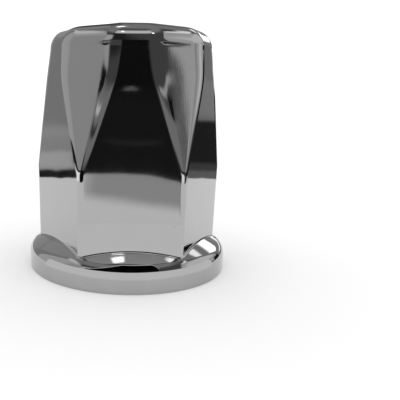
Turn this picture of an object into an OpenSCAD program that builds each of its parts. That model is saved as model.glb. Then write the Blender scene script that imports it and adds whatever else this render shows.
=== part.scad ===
// Push-on cover cap for a hexagonal wheel nut, pressed from one sheet of steel and chromed.
// The rim lies on z = 0, the axis is Z, and one flat of the hexagon faces -Y.

/* [Sheet] */
// Thickness of the pressed sheet
wall = 0.7; // [0.5:0.05:0.9]

/* [Socket] */
// Width across flats inside the mouth, a close push fit over a 33 mm nut
socket_af = 33.6; // [31:0.1:34]
// Outside radius of the skirt's six upright corners
corner_r = 1.6; // [1.4:0.1:2]
// How far each flat leans in between its foot and its bend
draft = 0.1; // [0:0.05:0.4]
// Distance from the crown's top down to the bend above which the flats lean in
bend_down = 10; // [8:0.1:14]
// Distance from the axis to a flat at the crown
crown_in = 16.7; // [16.5:0.05:17]
// Softness of that bend, the gap by which its round clears the sharp corner
bend_soft = 0.12; // [0.01:0.01:0.2]

/* [Flange] */
// Diameter over the rim band
flange_d = 44.4; // [43.8:0.1:48]
// Height of the upright rim band, up to its rounded shoulder
band_h = 3.2; // [2.5:0.1:6]
// Outside radius of the shoulder between the band and the dished top
shoulder_r = 2.8; // [1:0.1:3]
// Radius of the sphere that the dished top is part of
dish_r = 46; // [36:1:80]
// Outside radius of the bend between the dished top and the skirt
foot_bend_r = 0.7; // [0.4:0.1:1]

/* [Arrowhead facets] */
// Height of the facets' lower tips above the rim
tip_h = 22.2; // [18:0.1:28]
// Distance from the axis to a facet at the crown
facet_in = 16.3; // [16.1:0.05:16.6]
// Outside radius of the strips between flats and facets, where they reach the crown
strip_r = 7; // [5.5:0.1:7.5]

/* [Crown] */
// Height of the cap
cap_h = 50.2; // [46:0.1:60]
// Outside radius of the crown's edge
crown_r = 3.8; // [3.3:0.1:5]
// Radius of the crown's shallow dome
dome_r = 78; // [60:1:200]

/* [Grip nibs] */
// How far a nib stands in from its flat
nib_h = 0.5; // [0.3:0.05:0.6]
// Width of a nib on its flat
nib_w = 3; // [2:0.1:4]
// Height of the nibs' centres above the foot of the flats
nib_up = 1.4; // [1.3:0.1:3]

/* [Hidden] */

SIDES = 6;
TURN = 360 / SIDES;
// Steps in each half of a rounded corner, and along each flat
ARC_STEPS = 3;
FLAT_STEPS = 6;
// Steps between the rings of each part of the sheet, from the crown down to the rim
DOME_STEPS = 4;
CROWN_STEPS = 6;
BEND_STEPS = 6;
STRIP_STEPS = 4;
FOOT_STEPS = 4;
DISH_STEPS = 3;
SHOULDER_STEPS = 6;
// How far below the bend the close rings start
BEND_SPAN = 5;

flat_in = socket_af / 2 + wall;
flange_r = flange_d / 2;

// The sphere of the dished top touches the band's shoulder from inside, and the flats stand on it
shoulder_in = flange_r - shoulder_r;
dish_z = band_h - sqrt((dish_r - shoulder_r) * (dish_r - shoulder_r) - shoulder_in * shoulder_in);
dish_slope = asin(shoulder_in / (dish_r - shoulder_r));
foot_slope = asin(flat_in / dish_r);
foot_h = dish_z + dish_r * cos(foot_slope);

// The crown's dome meets its rounded edge where both have the same slope
dome_in = facet_in - crown_r;
dome_slope = asin(dome_in / (dome_r - crown_r));
edge_h = cap_h - dome_r + (dome_r - crown_r) * cos(dome_slope);

// The height of the bend in the flats, and the level where its close rings start
bend_h = cap_h - bend_down;
bend_low = bend_h - BEND_SPAN;

// The smaller of two values, rounded where they cross so that it lies gap below them there
function soft_min(a, b, gap) = (a + b - norm([a - b, 2 * gap])) / 2;
// Distances from the axis to a flat, and to a corner that has no facet, at a height
function flat_low(z) = flat_in - draft * (z - foot_h) / (bend_h - foot_h);
function flat_high(z) = flat_low(bend_h) + (crown_in - flat_low(bend_h)) * (z - bend_h) / (edge_h - bend_h);
function flat_at(z) = soft_min(flat_low(z), flat_high(z), bend_soft);
function round_at(z) = corner_r + (strip_r - corner_r) * min(1, max(0, (z - tip_h) / (edge_h - tip_h)));
function corner_at(z) = (flat_at(z) - round_at(z)) / cos(TURN / 2) + round_at(z);
// A facet just touches the rounded corner at its tip, and leans in from there
function facet_at(z) =
    corner_at(tip_h) + (facet_in - corner_at(tip_h)) * (z - tip_h) / (edge_h - tip_h);

// One corner of a section, as points from the end of one flat to the start of the next.
// The section has its flats at distance a, its facets at c and a radius r between them.
function corner_points(k, a, c, r) =
    let (
        mid = TURN * (k + 0.5) - 90,
        along = ((c - r) - (a - r) * cos(TURN / 2)) / sin(TURN / 2),
        flat_1 = mid - TURN / 2,
        flat_2 = mid + TURN / 2,
        centre_1 = (a - r) * [cos(flat_1), sin(flat_1)] + along * [-sin(flat_1), cos(flat_1)],
        centre_2 = (a - r) * [cos(flat_2), sin(flat_2)] - along * [-sin(flat_2), cos(flat_2)]
    )
    concat(
        [for (i = [0:ARC_STEPS])
            let (t = flat_1 + i * TURN / 2 / ARC_STEPS) centre_1 + r * [cos(t), sin(t)]],
        [for (i = [0:ARC_STEPS])
            let (t = mid + i * TURN / 2 / ARC_STEPS) centre_2 + r * [cos(t), sin(t)]]
    );
// Below the tips the two arcs of a corner meet, so their shared point is kept once.
// The points along a flat follow the corner before it.
function section(a, c, r, facets) = [
    for (k = [0:SIDES - 1])
        let (
            points = corner_points(k, a, c, r),
            start = points[len(points) - 1],
            end = corner_points(k + 1, a, c, r)[0]
        )
            each concat(
                [for (i = [0:len(points) - 1]) if (facets || i != ARC_STEPS) points[i]],
                [for (i = [1:FLAT_STEPS - 1]) start + (end - start) * i / FLAT_STEPS]
            )
];
function lift(points, z) = [for (p = points) [p[0], p[1], z]];
function dish_height(p, r) = dish_z + sqrt(r * r - p[0] * p[0] - p[1] * p[1]);

function dome_ring(part, inset) =
    let (rim = crown_ring(90 - dome_slope, inset),
         ball = dome_r - inset,
         across = ball * sin(dome_slope) * part)
    lift([for (p = rim) part * [p[0], p[1]]], cap_h - dome_r + sqrt(ball * ball - across * across));
function crown_ring(turn, inset) =
    let (shrink = crown_r - (crown_r - inset) * cos(turn))
    lift(section(flat_at(edge_h) - shrink, facet_in - shrink, strip_r - shrink, true),
         edge_h + (crown_r - inset) * sin(turn));
function wall_ring(z, inset, facets) =
    lift(section(flat_at(z) - inset, (facets ? facet_at(z) : corner_at(z)) - inset,
                 round_at(z) - inset, facets), z);

// A ring of the bend at the foot. The bend's centre line runs round the skirt, over the dish.
function foot_ring(turn, inset) =
    let (
        bend = foot_bend_r + inset,
        shape = foot_section(bend * (1 - cos(turn)) - inset),
        centre = foot_section(foot_bend_r)
    )
    [for (i = [0:len(shape) - 1])
        [shape[i][0], shape[i][1], dish_height(centre[i], dish_r + foot_bend_r) - bend * sin(turn)]];
function foot_section(out) =
    section(flat_in + out, corner_at(foot_h) + out, corner_r + out, false);

// A ring of the dish, which turns from the foot's hexagon into the shoulder's circle
function dish_ring(part, inset) =
    let (foot = foot_ring(90 - foot_slope, inset), rim = circle_ring((dish_r - inset) * sin(dish_slope), 0))
    [for (i = [0:len(foot) - 1])
        let (p = foot[i] + (rim[i] - foot[i]) * part) [p[0], p[1], dish_height(p, dish_r - inset)]];
function shoulder_ring(turn, inset) =
    circle_ring(shoulder_in + (shoulder_r - inset) * cos(turn), band_h + (shoulder_r - inset) * sin(turn));
// A round ring with its points evenly spaced, and one of them in line with each corner
function circle_ring(r, z) =
    [for (i = [0:SIDES * LOW - 1])
        let (t = 360 * (i - ARC_STEPS) / (SIDES * LOW) + TURN / 2 - 90) [r * cos(t), r * sin(t), z]];

// The rings of one skin of the sheet, inset from the outer skin, from the crown down to the tips
function high_rings(inset) = concat(
    [for (i = [1:DOME_STEPS - 1]) dome_ring(i / DOME_STEPS, inset)],
    [for (i = [0:CROWN_STEPS]) crown_ring((90 - dome_slope) * (1 - i / CROWN_STEPS), inset)],
    [for (i = [1:BEND_STEPS]) wall_ring(edge_h + (bend_low - edge_h) * i / BEND_STEPS, inset, true)],
    [for (i = [1:STRIP_STEPS - 1])
        wall_ring(bend_low + (tip_h - bend_low) * i / STRIP_STEPS, inset, true)]
);
// The rest of them, from the tips down to the rim
function low_rings(inset) = concat(
    [wall_ring(tip_h, inset, false)],
    [for (i = [0:FOOT_STEPS]) foot_ring((90 - foot_slope) * i / FOOT_STEPS, inset)],
    [for (i = [1:DISH_STEPS]) dish_ring(i / DISH_STEPS, inset)],
    [for (i = [1:SHOULDER_STEPS])
        shoulder_ring((90 - dish_slope) * (1 - i / SHOULDER_STEPS), inset)],
    [circle_ring(flange_r - inset, 0)]
);

// Points in each sixth of a ring, below the tips and above them
LOW = 2 * ARC_STEPS + FLAT_STEPS;
HIGH = LOW + 1;
function flat_list(rings) = [for (ring = rings) each ring];
function skin_points(inset) =
    concat([[0, 0, cap_h - inset]], flat_list(high_rings(inset)), flat_list(low_rings(inset)));
// Two triangles for each pair of points that a ring shares with the one below it
function strip_faces(upper, lower, count) = [
    for (j = [0:count - 1], half = [0, 1])
        let (next = (j + 1) % count)
            half == 0 ? [upper + j, upper + next, lower + j] : [upper + next, lower + next, lower + j]
];
// The strip over the tips, where each facet's width closes to a point
function tip_faces(upper, lower) = [
    for (j = [0:SIDES * HIGH - 1])
        let (next = (j + 1) % (SIDES * HIGH), a = lower + under_tips(j), b = lower + under_tips(next))
            each concat([[upper + j, upper + next, a]], a == b ? [] : [[upper + next, b, a]])
];
// The point of the tips' ring that lies under a point of the ring above it
function under_tips(j) =
    let (k = floor(j / HIGH), i = j - k * HIGH) k * LOW + (i > ARC_STEPS ? i - 1 : i);
function skin_faces(highs, lows) =
    let (high = SIDES * HIGH, low = SIDES * LOW, tips = 1 + highs * high)
    concat(
        [for (j = [0:high - 1]) [0, 1 + (j + 1) % high, 1 + j]],
        [for (i = [0:highs - 2]) each strip_faces(1 + i * high, 1 + (i + 1) * high, high)],
        tip_faces(tips - high, tips),
        [for (i = [0:lows - 2]) each strip_faces(tips + i * low, tips + (i + 1) * low, low)]
    );

// The pressed sheet: its outer skin, its inner skin facing the other way, and the rim's edge
module sheet() {
    outside = skin_points(0);
    inside = skin_points(wall);
    faces = skin_faces(len(high_rings(0)), len(low_rings(0)));
    count = len(outside);
    ring = SIDES * LOW;
    polyhedron(
        points = concat(outside, inside),
        faces = concat(
            faces,
            [for (f = faces) [count + f[2], count + f[1], count + f[0]]],
            strip_faces(count - ring, 2 * count - ring, ring)
        )
    );
}

// Six nibs pressed in from the flats just above the foot, which grip the nut.
// Each is the cap of a ball, rooted in the middle of the sheet.
module grip_nibs() {
    ball = (nib_w * nib_w / 4 + nib_h * nib_h) / (2 * nib_h);
    root = wall / 2;
    for (k = [0:SIDES - 1])
        rotate([0, 0, k * TURN])
            translate([0, wall - flat_at(foot_h + nib_up), foot_h + nib_up])
                intersection() {
                    translate([0, nib_h - ball, 0])
                        sphere(r = ball, $fn = 24);
                    translate([-nib_w, -root, -nib_w])
                        cube([2 * nib_w, root + nib_h + wall, 2 * nib_w]);
                }
}

module nut_cover() {
    color("silver") {
        sheet();
        grip_nibs();
    }
}

nut_cover();
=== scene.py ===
# %% [markdown]
# A push-on cover cap for a wheel nut: one sheet of steel, 0.7 mm thick, drawn into a hexagonal
# cup with a round flange, then polished and chromed. The imported model gives its place and size.

# %% Load the frame
import math
import bmesh
import bpy
import numpy as np
from mathutils import Matrix, Vector


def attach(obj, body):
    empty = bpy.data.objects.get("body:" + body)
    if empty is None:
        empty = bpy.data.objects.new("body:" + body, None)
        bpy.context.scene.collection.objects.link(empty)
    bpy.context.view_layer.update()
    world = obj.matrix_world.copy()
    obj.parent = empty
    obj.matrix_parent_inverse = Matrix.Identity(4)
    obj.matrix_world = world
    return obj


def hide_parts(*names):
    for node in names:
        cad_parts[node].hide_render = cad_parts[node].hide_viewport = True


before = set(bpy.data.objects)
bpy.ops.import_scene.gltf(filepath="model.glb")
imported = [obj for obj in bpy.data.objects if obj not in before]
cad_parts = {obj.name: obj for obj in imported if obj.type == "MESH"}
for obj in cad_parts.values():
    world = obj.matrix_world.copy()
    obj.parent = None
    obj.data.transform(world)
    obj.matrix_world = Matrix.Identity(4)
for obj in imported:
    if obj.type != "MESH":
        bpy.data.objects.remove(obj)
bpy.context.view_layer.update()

# %% [markdown]
# These are the sizes that the press tool was cut to. They are in millimetres, as on a drawing,
# and one factor turns them into Blender's metres when the mesh is made.

# %% Sizes of the pressing
MM = 0.001
wall = 0.7
flat_in = 33.6 / 2 + wall
corner_r = 1.6
draft = 0.1
bend_down = 10.0
crown_in = 16.7
bend_soft = 0.12
flange_r = 44.4 / 2
band_h = 3.2
shoulder_r = 2.8
dish_r = 46.0
foot_bend_r = 0.7
tip_h = 22.2
facet_in = 16.3
strip_r = 7.0
cap_h = 50.2
crown_r = 3.8
dome_r = 78.0
nib_h = 0.5
nib_w = 3.0
nib_up = 1.4
edge_round = 0.12

shoulder_in = flange_r - shoulder_r
dish_z = band_h - math.sqrt((dish_r - shoulder_r) ** 2 - shoulder_in ** 2)
dish_slope = math.asin(shoulder_in / (dish_r - shoulder_r))
foot_h = dish_z + math.sqrt(dish_r ** 2 - flat_in ** 2)
dome_slope = math.asin((facet_in - crown_r) / (dome_r - crown_r))
edge_h = cap_h - dome_r + (dome_r - crown_r) * math.cos(dome_slope)
bend_h = cap_h - bend_down
print("foot of the flats at", round(foot_h, 2), "mm, crown's edge at", round(edge_h, 2), "mm")

# %% [markdown]
# Each level of the cap is a hexagon with rounded corners. Above the tips every corner is cut off
# by a facet, and the strips between flats and facets get rounder as they climb. One function
# gives that outline for any three distances, so the whole body follows from how they change.

# %% The outline at one level
SIDES = 6
TURN = 2 * math.pi / SIDES
ARC_STEPS = 9
FACET_STEPS = 10
FLAT_STEPS = 32
# The steps round a sixth of a ring, and the same without the facet, a mere point below the tips
SIXTH = 2 * ARC_STEPS + FACET_STEPS + FLAT_STEPS
ROUND_STEPS = SIXTH - FACET_STEPS


def direction(angle):
    return np.array([math.cos(angle), math.sin(angle)])


def along_line(start, end, steps):
    """The points between start and end, without either of them"""
    return [start + (end - start) * i / steps for i in range(1, steps)]


def corner(k, flat, facet, radius):
    """Points and outward directions of one corner, from one flat's end to the next flat's start"""
    middle = TURN * (k + 0.5) - math.pi / 2
    along = ((facet - radius) - (flat - radius) * math.cos(TURN / 2)) / math.sin(TURN / 2)
    points, facings = [], []
    for side in (-1, 1):
        flat_angle = middle + side * TURN / 2
        sideways = direction(flat_angle - side * math.pi / 2)
        centre = (flat - radius) * direction(flat_angle) + along * sideways
        first = flat_angle if side < 0 else middle
        arc = [first + i * TURN / 2 / ARC_STEPS for i in range(ARC_STEPS + 1)]
        arc_points = [centre + radius * direction(angle) for angle in arc]
        if side > 0:
            between = along_line(points[-1], arc_points[0], FACET_STEPS)
            points += between
            facings += [direction(middle)] * len(between)
        points += arc_points
        facings += [direction(angle) for angle in arc]
    return points, facings


def section(flat, facet, radius):
    points, facings = [], []
    for k in range(SIDES):
        here, here_facing = corner(k, flat, facet, radius)
        following = corner(k + 1, flat, facet, radius)[0][0]
        between = along_line(here[-1], following, FLAT_STEPS)
        points += here + between
        facings += here_facing + [here_facing[-1]] * len(between)
    return np.array(points), np.array(facings)


def lift(points, height):
    return np.column_stack([points, np.full(len(points), height)])


print("points in a ring:", len(section(flat_in, facet_in, strip_r)[0]))

# %% [markdown]
# The flats lean in a little as a drawn cup needs, and more above their bend. The facets lean in
# from their tips in one straight line. Below the tips a corner is only rounded, and its distance
# from the axis follows from the flats and the radius.

# %% How the distances change with height


def soft_min(a, b, gap):
    return (a + b - math.hypot(a - b, 2 * gap)) / 2


def flat_low(z):
    return flat_in - draft * (z - foot_h) / (bend_h - foot_h)


def flat_at(z):
    start = flat_low(bend_h)
    return soft_min(flat_low(z), start + (crown_in - start) * (z - bend_h) / (edge_h - bend_h), bend_soft)


def round_at(z):
    share = min(1, max(0, (z - tip_h) / (edge_h - tip_h)))
    return corner_r + (strip_r - corner_r) * share


def corner_at(z):
    return (flat_at(z) - round_at(z)) / math.cos(TURN / 2) + round_at(z)


def facet_at(z):
    if z <= tip_h:
        return corner_at(z)
    return corner_at(tip_h) + (facet_in - corner_at(tip_h)) * (z - tip_h) / (edge_h - tip_h)


def wall_ring(z, inset):
    return lift(section(flat_at(z) - inset, facet_at(z) - inset, round_at(z) - inset)[0], z)


print("corner at the tips:", round(corner_at(tip_h), 2), "mm from the axis")

# %% [markdown]
# The crown is a shallow dome with a rounded edge. Its rings are the wall's top outline, drawn in
# by the same amount all round, and then shrunk towards the middle of the dome.

# %% Rings of the crown
DOME_RINGS = 10
CROWN_RINGS = 18


def crown_ring(turn, inset):
    shrink = crown_r - (crown_r - inset) * math.cos(turn)
    outline = section(flat_at(edge_h) - shrink, facet_in - shrink, strip_r - shrink)[0]
    return lift(outline, edge_h + (crown_r - inset) * math.sin(turn))


def dome_ring(part, inset):
    ball = dome_r - inset
    across = ball * math.sin(dome_slope) * part
    outline = crown_ring(math.pi / 2 - dome_slope, inset)[:, :2] * part
    return lift(outline, cap_h - dome_r + math.sqrt(ball ** 2 - across ** 2))


def crown_rings(inset):
    rings = [dome_ring(i / DOME_RINGS, inset) for i in range(1, DOME_RINGS)]
    end = math.pi / 2 - dome_slope
    return rings + [crown_ring(end * (1 - i / CROWN_RINGS), inset) for i in range(CROWN_RINGS)]


print("crown rings:", len(crown_rings(0)))

# %% [markdown]
# The skirt turns out into the dished flange over a small bend. A ball rolled along the foot,
# touching wall and dish at once, leaves exactly this shape, so each ring is a turn of the way
# from the direction of the wall to the direction of the dish, seen from the ball's centre.

# %% Rings of the foot and the flange
FOOT_RINGS = 10
DISH_RINGS = 12
SHOULDER_RINGS = 10
BAND_RINGS = 4
dish_centre = np.array([0, 0, dish_z])


def on_sphere(outline, radius):
    return np.sqrt(radius ** 2 - (outline ** 2).sum(axis=1)) + dish_z


def foot_rings(inset):
    outline, facing = section(flat_in + foot_bend_r, corner_at(foot_h) + foot_bend_r,
                              corner_r + foot_bend_r)
    centres = np.column_stack([outline, on_sphere(outline, dish_r + foot_bend_r)])
    to_wall = -np.column_stack([facing, np.zeros(len(facing))])
    to_dish = dish_centre - centres
    to_dish /= np.linalg.norm(to_dish, axis=1)[:, None]
    angle = np.arccos((to_wall * to_dish).sum(axis=1))[:, None]
    rings = []
    for i in range(FOOT_RINGS + 1):
        share = i / FOOT_RINGS
        way = (np.sin((1 - share) * angle) * to_wall + np.sin(share * angle) * to_dish) / np.sin(angle)
        rings.append(centres + (foot_bend_r + inset) * way)
    return rings


def circle_ring(radius, height):
    """A round ring with even steps. What is a facet above lies in one point here."""
    angles = []
    for k in range(SIDES):
        middle = TURN * (k + 0.5) - math.pi / 2
        for i in range(SIXTH):
            step = min(i, ARC_STEPS) + max(0, i - ARC_STEPS - FACET_STEPS)
            angles.append(middle + (step - ARC_STEPS) * TURN / ROUND_STEPS)
    angles = np.array(angles)
    return np.column_stack([radius * np.cos(angles), radius * np.sin(angles), np.full(len(angles), height)])


def dish_rings(inset, foot):
    """From the foot's hexagon out to the shoulder's circle, always on the dish's sphere"""
    rim = circle_ring((dish_r - inset) * math.sin(dish_slope), 0)
    foot_angle = np.arctan2(foot[:, 1], foot[:, 0])
    rim_angle = np.arctan2(rim[:, 1], rim[:, 0])
    swing = (rim_angle - foot_angle + math.pi) % (2 * math.pi) - math.pi
    foot_radius = np.hypot(foot[:, 0], foot[:, 1])
    rim_radius = (dish_r - inset) * math.sin(dish_slope)
    rings = []
    for i in range(1, DISH_RINGS + 1):
        share = i / DISH_RINGS
        angle = foot_angle + swing * share
        radius = foot_radius + (rim_radius - foot_radius) * share
        outline = np.column_stack([radius * np.cos(angle), radius * np.sin(angle)])
        rings.append(np.column_stack([outline, on_sphere(outline, dish_r - inset)]))
    return rings


def band_rings(inset):
    radius = shoulder_r - inset
    rings = []
    for i in range(1, SHOULDER_RINGS + 1):
        turn = (math.pi / 2 - dish_slope) * (1 - i / SHOULDER_RINGS)
        rings.append(circle_ring(shoulder_in + radius * math.cos(turn), band_h + radius * math.sin(turn)))
    for i in range(1, BAND_RINGS + 1):
        rings.append(circle_ring(flange_r - inset, band_h + (edge_round - band_h) * i / BAND_RINGS))
    return rings


print("flange rings:", len(foot_rings(0)) + DISH_RINGS + len(band_rings(0)))

# %% [markdown]
# Both skins run from the crown to the rim, and the cut edge joins them. The rings of the wall lie
# close where the surface turns and where the grip nibs are pressed in, and far apart elsewhere.

# %% One skin of the sheet
BEND_RINGS = 20
STRIP_RINGS = 12
SKIRT_RINGS = 6
NIB_RINGS = 14
bend_span = 5.0
nib_band = 5.0


def skirt_rings(inset, foot):
    """From the tips down to the bend at the foot, which isn't level"""
    top = wall_ring(tip_h, inset)
    long_part = [i / SKIRT_RINGS for i in range(SKIRT_RINGS)]
    share = 1 - nib_band / (tip_h - foot_h)
    shares = [part * share for part in long_part]
    shares += [share + (1 - share) * i / NIB_RINGS for i in range(NIB_RINGS)]
    return [top + (foot - top) * part for part in shares]


def skin(inset):
    heights = [edge_h - (edge_h - bend_h + bend_span) * i / BEND_RINGS for i in range(BEND_RINGS)]
    low = bend_h - bend_span
    heights += [low - (low - tip_h) * i / STRIP_RINGS for i in range(STRIP_RINGS)]
    foot = foot_rings(inset)
    rings = crown_rings(inset) + [wall_ring(z, inset) for z in heights]
    return rings + skirt_rings(inset, foot[0]) + foot + dish_rings(inset, foot[-1]) + band_rings(inset)


outer_skin = skin(0)
print("rings in a skin:", len(outer_skin))

# %% [markdown]
# Six nibs are pressed in from the flats just inside the mouth, and they grip the nut. They are
# dents in the inner skin with soft edges.

# %% Grip nibs
nib_spread = 0.6
nib_reach = nib_w * nib_spread


def press_nibs(rings):
    for ring in rings:
        for k in range(SIDES):
            facing = direction(TURN * k - math.pi / 2)
            sideways = direction(TURN * k)
            aside = ring[:, :2] @ sideways
            off = np.hypot(aside, ring[:, 2] - foot_h - nib_up)
            near = (off < nib_reach) & (ring[:, :2] @ facing > 0)
            depth = nib_h * np.cos(off[near] / nib_reach * math.pi / 2) ** 2
            ring[near, :2] -= depth[:, None] * facing
    return rings


inner_skin = press_nibs(skin(wall))
print("nibs fade out", round(nib_reach, 2), "mm from their middle")

# %% [markdown]
# The rings are sewn into one closed surface: a fan at each pole, and four-sided faces between
# neighbouring rings. Points that fall together, such as a facet's below its tip, are merged.

# %% Sew the rings into a mesh
MERGE = 1e-7
EDGE_STEP = 30
QUARTER = 90


def cut_edge():
    """The two rounds of the cut edge, from the outer skin to the inner one"""
    outer = [(flange_r - edge_round, degrees) for degrees in range(EDGE_STEP, QUARTER + 1, EDGE_STEP)]
    inner = [(flange_r - wall + edge_round, degrees) for degrees in range(QUARTER, 2 * QUARTER, EDGE_STEP)]
    rings = []
    for middle, degrees in outer + inner:
        turn = math.radians(degrees)
        radius = middle + edge_round * math.cos(turn)
        rings.append(circle_ring(radius, edge_round * (1 - math.sin(turn))))
    return rings


def sew(rings, top, bottom):
    count = len(rings[0])
    points = [top] + [tuple(point) for ring in rings for point in ring] + [bottom]
    faces = []
    for j in range(count):
        following = (j + 1) % count
        faces.append((0, 1 + j, 1 + following))
        for level in range(len(rings) - 1):
            upper = 1 + level * count
            lower = upper + count
            faces.append((upper + j, lower + j, lower + following, upper + following))
        last = 1 + (len(rings) - 1) * count
        faces.append((last + j, len(points) - 1, last + following))
    return [Vector(point) * MM for point in points], faces


rings = outer_skin + cut_edge() + inner_skin[::-1]
points, faces = sew(rings, (0, 0, cap_h), (0, 0, cap_h - wall))
mesh = bpy.data.meshes.new("pressed_sheet")
mesh.from_pydata(points, [], faces)
work = bmesh.new()
work.from_mesh(mesh)
bmesh.ops.remove_doubles(work, verts=work.verts, dist=MERGE)
bmesh.ops.recalc_face_normals(work, faces=work.faces)
open_edges = [edge for edge in work.edges if not edge.is_manifold]
work.to_mesh(mesh)
work.free()
mesh.shade_smooth()
print("faces:", len(mesh.polygons), "open edges:", len(open_edges))

# %% [markdown]
# The mesh becomes an object that stands for the plain solid. Large faces decide the direction of
# the normals, so the flats reflect as true planes and the bends take up all of the turn.

# %% The pressing
flat_weight = 90

pressing = bpy.data.objects.new("pressing", mesh)
bpy.context.scene.collection.objects.link(pressing)
even = pressing.modifiers.new("even_flats", "WEIGHTED_NORMAL")
even.mode = "FACE_AREA"
even.weight = flat_weight
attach(pressing, "root")
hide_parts("nut_cover")
print("pressing:", len(mesh.vertices), "points")

# %% [markdown]
# Shader maths reads best as plain sums. This small class wraps a socket, so that a sum of values
# adds its Math nodes, and one method makes any other node.

# %% Shader maths


class Value:
    def __init__(self, tree, socket):
        self.tree = tree
        self.socket = socket

    def maths(self, operation, first, second):
        return self.tree.node("ShaderNodeMath", {"operation": operation}, {0: first, 1: second})

    def __add__(self, other):
        return self.maths("ADD", self, other)

    def __radd__(self, other):
        return self.maths("ADD", other, self)

    def __sub__(self, other):
        return self.maths("SUBTRACT", self, other)

    def __rsub__(self, other):
        return self.maths("SUBTRACT", other, self)

    def __mul__(self, other):
        return self.maths("MULTIPLY", self, other)

    def __rmul__(self, other):
        return self.maths("MULTIPLY", other, self)


class Tree:
    def __init__(self, owner):
        owner.use_nodes = True
        self.nodes = owner.node_tree.nodes
        self.links = owner.node_tree.links
        self.nodes.clear()

    def node(self, kind, settings, inputs, output=0):
        made = self.nodes.new(kind)
        for name, value in settings.items():
            setattr(made, name, value)
        for name, value in inputs.items():
            if isinstance(value, Value):
                self.links.new(value.socket, made.inputs[name])
            else:
                made.inputs[name].default_value = value
        return Value(self, made.outputs[output]) if made.outputs else None


print("values with +, - and * add Math nodes")

# %% [markdown]
# Bright chrome is a mirror with a slightly grey tint. What gives it life is small: the sheet is
# never quite flat after pressing and polishing, fine wipe marks cross it, and a light haze makes
# some places a touch softer than others.

# %% Chrome plate
chrome_grey = 0.41
grey_spread = 0.03
wave_scale = 130.0
wave_depth = 0.00002
haze_scale = 260.0
wipe_scale = 5200.0
wipe_stretch = 0.06
wipe_depth = 0.0000012
gloss = 0.025
gloss_haze = 0.03
gloss_wipes = 0.012


def chrome():
    material = bpy.data.materials.new("chrome_plate")
    tree = Tree(material)
    place = tree.node("ShaderNodeTexCoord", {}, {}, "Object")
    waves = tree.node("ShaderNodeTexNoise", {}, {"Vector": place, "Scale": wave_scale, "Detail": 1.0})
    haze = tree.node("ShaderNodeTexNoise", {}, {"Vector": place, "Scale": haze_scale, "Detail": 4.0})
    wiped = tree.node("ShaderNodeMapping", {}, {"Vector": place, "Scale": (1.0, 1.0, wipe_stretch)})
    wipes = tree.node("ShaderNodeTexNoise", {}, {"Vector": wiped, "Scale": wipe_scale, "Detail": 2.0})
    height = waves * wave_depth + wipes * wipe_depth
    normal = tree.node("ShaderNodeBump", {}, {"Strength": 1.0, "Distance": 1.0, "Height": height})
    roughness = gloss + haze * gloss_haze + wipes * gloss_wipes
    dark, bright = [chrome_grey * (1 + side * grey_spread) for side in (-1, 1)]
    # The sockets 0, 6 and 7 of a colour Mix are its factor and its two colours, 2 is its result
    tint = tree.node("ShaderNodeMix", {"data_type": "RGBA"}, {
        0: haze, 6: (dark, dark, dark, 1), 7: (bright, bright, bright, 1),
    }, 2)
    surface = tree.node("ShaderNodeBsdfPrincipled", {}, {
        "Base Color": tint, "Metallic": 1.0, "Roughness": roughness, "Normal": normal,
    })
    tree.node("ShaderNodeOutputMaterial", {}, {"Surface": surface})
    return material


pressing.data.materials.append(chrome())
print("chrome plate on", pressing.name)

# %% [markdown]
# The cap stands on a sheet of pale board with round corners, and the board lies on a pale table of
# the same tone, so that to the eye it is all one surface. A mirror is different: chrome this bright
# shows where the pale ground ends. So the board is what the chrome reflects, and the table beyond
# it isn't. A patch of the board before the cap is darker: a painted shadow with soft edges, laid
# into the board's colour. Each is a single face, because a plain sheet needs no more.

# %% Helpers for soft edges


def soft_edge(tree, value, at, blur):
    """0 below a place and 1 above it, with an edge as wide as blur"""
    return tree.node("ShaderNodeMapRange", {"interpolation_type": "SMOOTHSTEP"}, {
        "Value": value, "From Min": at - blur / 2, "From Max": at + blur / 2,
    })


def split(tree, vector):
    """The three parts of a vector"""
    apart = tree.node("ShaderNodeSeparateXYZ", {}, {"Vector": vector}).socket.node
    return [Value(tree, apart.outputs[axis]) for axis in ("X", "Y", "Z")]


print("helpers: soft_edge and split")

# %% [markdown]
# The board and the table have a dull finish without any gloss. A fine grain in the board's
# roughness keeps it from looking like plastic, and the painted shadow is a product of soft edges.

# %% Pale finishes
pale_grey = 0.92
# How much darker the painted shadow makes the board
painted_shadow_depth = 0.5
shade_left, shade_left_blur = -15, 14
shade_right, shade_right_blur = 48, 20
shade_back, shade_back_blur = -111, 30
shade_lean = 0.7
grain_scale = 900.0
board_dull = 0.8
grain_dull = 0.15
plain_dull = 0.9


def board_with_painted_shadow():
    material = bpy.data.materials.new("pale_board")
    tree = Tree(material)
    place = tree.node("ShaderNodeTexCoord", {}, {}, "Object")
    grain = tree.node("ShaderNodeTexNoise", {}, {"Vector": place, "Scale": grain_scale, "Detail": 3.0})
    x, y = [side * (1 / MM) for side in split(tree, place)[:2]]
    # A shadow painted into the board's colour: inside this soft patch before the cap the board is darker
    patch = soft_edge(tree, x, shade_left, shade_left_blur)
    patch = patch - soft_edge(tree, x, shade_right, shade_right_blur)
    patch = patch * (1 - soft_edge(tree, y - x * shade_lean, shade_back, shade_back_blur))
    grey = pale_grey * (1 - painted_shadow_depth * patch)
    colour = tree.node("ShaderNodeCombineXYZ", {}, {0: grey, 1: grey, 2: grey})
    surface = tree.node("ShaderNodeBsdfPrincipled", {}, {
        "Base Color": colour, "Roughness": board_dull + grain * grain_dull, "Specular IOR Level": 0.0,
    })
    tree.node("ShaderNodeOutputMaterial", {}, {"Surface": surface})
    return material


def plain(name, grey, glow=0.0):
    material = bpy.data.materials.new(name)
    tree = Tree(material)
    surface = tree.node("ShaderNodeBsdfPrincipled", {}, {
        "Base Color": (grey, grey, grey, 1), "Roughness": plain_dull, "Specular IOR Level": 0.0,
        "Emission Color": (1, 1, 1, 1), "Emission Strength": glow,
    })
    tree.node("ShaderNodeOutputMaterial", {}, {"Surface": surface})
    return material


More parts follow.
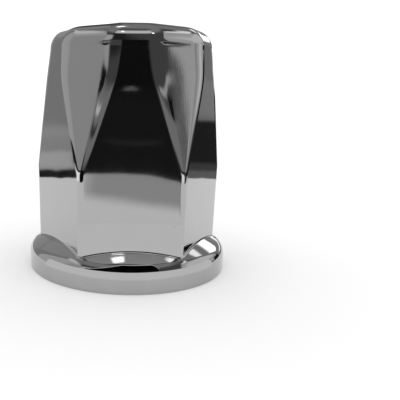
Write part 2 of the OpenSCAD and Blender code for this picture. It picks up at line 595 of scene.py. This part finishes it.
pale_board = board_with_painted_shadow()
pale_table = plain("pale_table", pale_grey)
print("pale finishes:", pale_board.name, "and", pale_table.name)

# %% [markdown]
# The stage pieces are made from points and faces in millimetres.

# %% Table and board
table_half = 3000
table_drop = 0.05
board_turn = -25.0
board_x = (-150, 97)
board_y = (-178, 134)
board_round = 36
wing_x = (97, 169)
wing_y = (-118, 134)
wing_drop = 0.02
hardly_round = 1
ROUND_PARTS = 8


def stage_piece(name, points, faces, material):
    mesh = bpy.data.meshes.new(name)
    mesh.from_pydata([Vector(point) * MM for point in points], [], faces)
    made = bpy.data.objects.new(name, mesh)
    bpy.context.scene.collection.objects.link(made)
    made.data.materials.append(material)
    return made


def level_sheet(name, x_range, y_range, rounding, height, turn, material):
    """A level sheet with round corners, turned about the cap's axis"""
    turned = Matrix.Rotation(math.radians(turn), 3, "Z")
    points = []
    for quarter in range(4):
        x = x_range[1] - rounding if quarter in (0, 3) else x_range[0] + rounding
        y = y_range[1] - rounding if quarter in (0, 1) else y_range[0] + rounding
        for i in range(ROUND_PARTS + 1):
            angle = math.pi / 2 * (quarter + i / ROUND_PARTS)
            across = rounding * math.cos(angle)
            along = rounding * math.sin(angle)
            points.append(turned @ Vector((x + across, y + along, height)))
    return stage_piece(name, points, [range(len(points))], material)


level_sheet("board", board_x, board_y, board_round, 0, board_turn, pale_board)
level_sheet("board_wing", wing_x, wing_y, hardly_round, -wing_drop, board_turn, pale_board)
whole = (-table_half, table_half)
table = level_sheet("table", whole, whole, hardly_round, -table_drop, 0, pale_table)
table.visible_glossy = False
print("board", wing_x[1] - board_x[0], "by", board_y[1] - board_y[0], "mm")

# %% [markdown]
# A small curved screen stands before the foot, out of sight of the camera. Its wall and the top of
# its brim glow white, though the screen is no lamp: painted light, and the wall gives the rim band
# its even light. Its brim points inward, and the brim's dark underside is the black lens on the
# shoulder: the brim gets narrower to both ends. Turns are in degrees from the front.
# on the shoulder: the brim gets narrower to both ends. Turns are in degrees from the front.

# %% Screen
screen_r = 30
screen_low = 0.3
screen_h = 10
screen_turns = (-68, 70)
screen_glow = 1.07
brim_turns = (-32, 20)
brim_in = 20
brim_lift = 0.05
brim_back = 0.4
narrow_from = (-6, 13)
narrow_span = (24, 7)
narrow_by = (7.5, 6)


def brim_at(turn, inner):
    """How near the brim comes to the axis at a turn"""
    to_left = min(1, max(0, (narrow_from[0] - turn) / narrow_span[0]))
    to_right = min(1, max(0, (turn - narrow_from[1]) / narrow_span[1]))
    return inner + narrow_by[0] * to_left + narrow_by[1] * to_right ** 2


def round_strip(name, low, high, turns, material, inner=None):
    """A strip round the axis at screen_r, or from there inward to the brim's edge"""
    points = []
    count = turns[1] - turns[0]
    for i in range(count + 1):
        turn = turns[0] + i
        angle = math.radians(turn)
        near = screen_r if inner is None else brim_at(turn, inner)
        for radius, height in ((near, low), (screen_r, high)):
            points.append((radius * math.sin(angle), -radius * math.cos(angle), height))
    faces = [(2 * i, 2 * i + 1, 2 * i + 3, 2 * i + 2) for i in range(count)]
    made = stage_piece(name, points, faces, material)
    made.visible_camera = False
    made.visible_diffuse = False
    made.visible_shadow = False
    return made


# The white of the screen's wall and of the brim's top is a glow, painted light: the screen is no lamp
screen_painted_glow = plain("screen_painted_glow", 0.0, screen_glow)
screen_black = plain("screen_black", 0.0)
brim_top = screen_h + brim_lift
round_strip("screen_wall", screen_low, brim_top, screen_turns, screen_painted_glow)
round_strip("brim_under", screen_h, screen_h, brim_turns, screen_black, brim_in + brim_back)
round_strip("brim_top", brim_top, brim_top, brim_turns, screen_painted_glow, brim_in)
print("screen", screen_h, "mm high,", screen_r, "mm from the axis")

# %% [markdown]
# A mirror takes its tones from the room. A modelled room would need many walls and lamps to bring
# every streak to its place, so the room is painted by direction instead, with more than fifty
# soft panels laid over each other: a broad lit wall on the left, a dark doorway in front, a lit
# wall with windows on the right and a bright gap behind. Azimuth is 0 towards the camera's side
# and grows to the right; both angles are in degrees. Only what is mirrored sees this room: the
# eye and the table get an even pale light.

# %% Directions in the room
world = bpy.data.worlds.new("studio")
bpy.context.scene.world = world
bpy.context.scene.view_settings.view_transform = "Standard"
room = Tree(world)
east, north, up = split(room, room.node("ShaderNodeTexCoord", {}, {}, "Generated"))
DEGREES = 180 / math.pi
azimuth = room.node("ShaderNodeMath", {"operation": "ARCTAN2"}, {0: east, 1: 0 - north}) * DEGREES
elevation = room.node("ShaderNodeMath", {"operation": "ARCSINE"}, {0: up}) * DEGREES
print("the room's directions are in", world.name)

# %% [markdown]
# Tones are easier to think of as they look on the screen, from 0 to 255. A screen's curve turns
# them into amounts of light, and chrome gives back only a part of what it meets.

# %% From a tone to light
WHITE = 255
CURVE_LIFT = 0.055
CURVE_POWER = 2.4
CURVE_FOOT = 0.04
FOOT_SLOPE = 12.92


def seen(level):
    """The light that chrome must meet to show a tone from 0 to 255"""
    share = level / WHITE
    if share < CURVE_FOOT:
        return share / FOOT_SLOPE / chrome_grey
    return ((share + CURVE_LIFT) / (1 + CURVE_LIFT)) ** CURVE_POWER / chrome_grey


print("chrome shows white where it meets a light of", round(seen(WHITE), 2))

# %% [markdown]
# Four soft edges make a panel. Where the cap has a sharp line, the panel has a small
# blur there, and where a tone fades the blur is wide. A row of a group holds the tone, the
# azimuths of both sides, the elevations of bottom and top, and the blurs of left, right, bottom
# and top edge. The lean and the arch come last, where a panel has them.

# %% Panels of light


def panel(light, level, sides, bottom, top, blurs, lean=0, arch=0):
    """
    Lays a soft panel over the light. Its bottom and top rise by lean for each degree to the
    right, and an arched top falls by arch from its middle to its sides.
    """
    left, right = sides
    low = elevation - (azimuth - left) * lean if lean else elevation
    high = low
    if arch:
        aside = (azimuth - (left + right) / 2) * (2 / (right - left))
        high = low + aside * aside * arch
    mask = soft_edge(room, azimuth, left, blurs[0]) - soft_edge(room, azimuth, right, blurs[1])
    mask = mask * (soft_edge(room, low, bottom, blurs[2]) - soft_edge(room, high, top, blurs[3]))
    mask = room.node("ShaderNodeClamp", {}, {"Value": mask})
    return light + (seen(level) - light) * mask


def hang(light, title, rows):
    """Lays a group of panels over the light, from back to front"""
    for row in rows:
        light = panel(light, *row)
    print(title + ":", len(rows), "panels")
    return light


print("helpers: panel and hang")

# %% [markdown]
# The ceiling is grey all round, with a pale strip over the front and a darker part straight
# above. A dark patch hangs below them in front, a little to the left.

# %% Overhead
unlit_tone = 57

# Without the product this would be a plain number, and the panels need a value of the tree
light = seen(unlit_tone) + 0 * elevation
light = hang(light, "ceiling", [
    (106, (-181, 181), 58, 91, (1, 1, 12, 1)),
    (172, (-42, 44), 57.5, 73, (8, 8, 3, 2)),
    (74, (-60, 75), 75, 91, (12, 12, 3, 1)),
    (28, (-48, 4), 22, 55, (6, 4, 3, 8)),
])

# %% [markdown]
# Behind the cap on the left is a plain grey wall. Right behind the cap is a bright gap, with a
# dark patch above it.

# %% Back left
light = hang(light, "back left", [
    (116, (-181, -123.6), -60, 24, (1, 0.6, 2, 3)),
    (118, (-167, -125), 24, 60, (6, 4, 3, 4), 0, 20),
    (225, (-181, -165), -9, 28, (1, 5, 3, 4)),
    (60, (-181, -157), 30, 50, (1, 5, 4, 6)),
])

# %% [markdown]
# The left facet and the left flat show this broad lit wall. It is paler along its top and
# darker at both ends. Two thin paler steps lead down to the floor at the far end, and the last
# panel goes round the near end.

# %% Left wall
light = hang(light, "left wall", [
    (142, (-138, -61.7), -7, 58, (3, 1.2, 2, 5), 0, 18),
    (127, (-84, -61.7), -7, 44, (14, 1.2, 2, 8)),
    (106, (-140, -123.4), -2.6, 60, (8, 0.6, 2, 2)),
    (117, (-140, -123.4), -5.3, -2.6, (8, 0.6, 1, 3)),
    (139, (-132, -123.4), -6.9, -5.3, (2, 0.4, 0.3, 0.6)),
    (168, (-150, -74), 52, 58.5, (10, 8, 3, 2), 0, 12),
    (146, (-63, -40), 25, 46, (1, 10, 3, 6)),
])

# %% [markdown]
# Between the wall and the doorway the strip beside the left facet squeezes a whole corner of
# the room into a few thin streaks.

# %% Streaks on the left
light = hang(light, "left streaks", [
    (135, (-61.7, -46), 19, 25, (0.8, 8, 2, 3)),
    (100, (-61.7, -6), 9.5, 20, (0.8, 12, 2, 4), -0.23),
    (12, (-61.7, -50), 16, 19.5, (0.6, 5, 1, 1)),
    (165, (-58, -36), 13.9, 15.1, (2, 8, 0.7, 0.7), -0.17),
    (45, (-58, -26), 11.6, 13.2, (2, 8, 1, 1), -0.2),
])

# %% [markdown]
# The front flat is nearly black, because it faces a dark doorway. A small glint and a faint
# line break it.

# %% Doorway
light = hang(light, "doorway", [
    (8, (-61.7, 4), -90, 9, (1.2, 5, 2, 2.5), -0.25),
    (11, (-7, 15), -90, 23, (5, 12, 2, 4)),
    (19, (-6, 16), -90, 3, (4, 8, 2, 5)),
    (80, (2.2, 3.8), 3.2, 4.5, (0.3, 0.3, 0.3, 0.3), 0, 1.5),
    (34, (0, 6.5), -3.9, -3.5, (1.5, 1.5, 0.3, 0.3), -0.04),
])

# %% [markdown]
# The right strip shows its own streaks, and the light floor beyond the board below them.

# %% Streaks on the right
light = hang(light, "right streaks", [
    (102, (20, 69.3), 0, 8.5, (6, 0.8, 3, 2.5), 0.09),
    (36, (21, 69.3), -90, 0.5, (4, 0.8, 1, 2), 0.08),
    (140, (30, 69.3), 10, 11.1, (4, 0.6, 0.8, 0.8), 0.16),
    (8, (59, 69), 12, 14.8, (2, 0.6, 1, 1)),
    (205, (23, 57), -40, -3.4, (3, 3, 2, 1.2), 0.11),
    (160, (57, 69), -40, -2, (3, 3, 2, 1.2), 0.11),
])

# %% [markdown]
# A dark band runs below the left wall, with light floor under it.

# %% Foot of the left wall
light = hang(light, "left foot", [
    (215, (-121, -62), -30, -6.4, (2, 1, 1, 1), 0.19),
    (10, (-123.5, -62), -6.6, -3.6, (0.6, 1, 0.8, 1), 0.16),
    (20, (-130, -123), -30, -7.25, (1, 0.5, 1, 0.25)),
])

# %% [markdown]
# The right facet and the crown's right side show a lit wall with a paler middle. A pale bar
# stands low in it, a thin dark line marks its near side, and a bright line runs along its top.

# %% Right wall
light = hang(light, "right wall", [
    (142, (69.7, 133), 3, 52, (0.8, 3, 4, 3), 0, 18),
    (168, (76, 133), 20, 46, (6, 6, 6, 6), 0, 12),
    (124, (76, 85), 3, 20, (3, 4, 4, 3)),
    (168, (95, 109), 5, 20, (5, 4, 3, 4)),
    (70, (69.7, 70.5), 6, 19, (0.4, 0.4, 2, 2)),
    (200, (98, 127), 50.2, 52.4, (5, 4, 1, 1)),
])

# %% [markdown]
# Behind the cap on the right is a grey wall with a dark corner. Two bright windows are in it, one
# over the other, with a lit sill below them and a dark band under the sill.

# %% Back right
light = hang(light, "back right", [
    (102, (128.5, 181), -1.6, 60, (1.5, 1, 0.6, 6)),
    (72, (157, 181), 28, 50, (5, 1, 4, 6)),
    (92, (131.8, 134), 4.5, 60, (0.6, 0.6, 1, 6)),
    (18, (117, 130), -6, 12, (3, 1.2, 1, 3)),
    (205, (137, 165), 2.8, 7.6, (6, 4, 2, 2)),
    (38, (133.6, 167), -6, 2.2, (1, 4, 1, 1.5)),
    (225, (138, 154), 36, 43, (4, 5, 3, 3), 0, 3),
    (270, (137, 153), 17.5, 28, (3, 4, 2, 4)),
])

# %% [markdown]
# The lower part of the right flat is dark, with paler steps to the back.

# %% Foot of the right wall
light = hang(light, "right foot", [
    (24, (72, 134), -90, 1.3, (6, 1, 1, 3.5), -0.055),
    (24, (128, 134), -90, -1.6, (2, 0.6, 1, 0.5)),
    (49, (128, 134), -90, -6.3, (2, 0.6, 1, 0.6)),
    (76, (128, 134), -90, -7.2, (2, 0.6, 1, 0.4)),
])

# %% [markdown]
# A lamp behind the cap lights the crown. It lies across the turn of 180 degrees, so it takes two
# panels. Two more lamps make the small highlights in the dish.

# %% Lamps
light = hang(light, "lamps", [
    (300, (-181, -140), 72, 79, (1, 8, 2, 2)),
    (300, (172, 181), 73, 78, (4, 1, 2, 2)),
    (390, (-14, 0), 66, 70.5, (3, 3, 1.5, 1.5)),
    (330, (37, 47), 54.5, 58.5, (3, 3, 1.5, 1.5)),
])

# %% [markdown]
# Light Path tells a mirrored ray from the eye's own and from the ones that gather light.

# %% Light for each kind of ray
even_light = 1.15
mirrored = room.node("ShaderNodeLightPath", {}, {}, "Is Glossy Ray")
strength = even_light + (light - even_light) * mirrored
glow = room.node("ShaderNodeBackground", {}, {"Color": (1, 1, 1, 1), "Strength": strength})
room.node("ShaderNodeOutputWorld", {}, {"Surface": glow})
print("even light for the eye and the table:", even_light)

# %% [markdown]
# The camera stands close, a little above the middle of the cap and just left of its front flat.
# These numbers come from a fit to the cap's outline in the photograph. The frame is shifted, so
# that the cap sits at the left of the picture, as it does there.

# %% Camera
PIXELS = 400
sensor_mm = 36.0
focal_px = 475.44
principal_x = 110.0
principal_y = 250.0
eye = Vector((-5.217, -106.894, 34.983)) * MM
heading = -0.741
pitch = -17.005
roll = 0.601
nearest = 0.005

camera_data = bpy.data.cameras.new("camera")
camera_data.sensor_width = sensor_mm
camera_data.lens = focal_px / PIXELS * sensor_mm
camera_data.shift_x = (PIXELS / 2 - principal_x) / PIXELS
camera_data.shift_y = (principal_y - PIXELS / 2) / PIXELS
camera_data.clip_start = nearest
camera = bpy.data.objects.new("camera", camera_data)
bpy.context.scene.collection.objects.link(camera)
turned = Matrix.Rotation(math.radians(heading), 4, "Z") @ Matrix.Rotation(math.radians(90 + pitch), 4, "X")
camera.matrix_world = Matrix.Translation(eye) @ turned @ Matrix.Rotation(math.radians(roll), 4, "Z")
bpy.context.scene.camera = camera
print("lens", round(camera_data.lens, 2), "mm, shift", camera_data.shift_x, camera_data.shift_y)
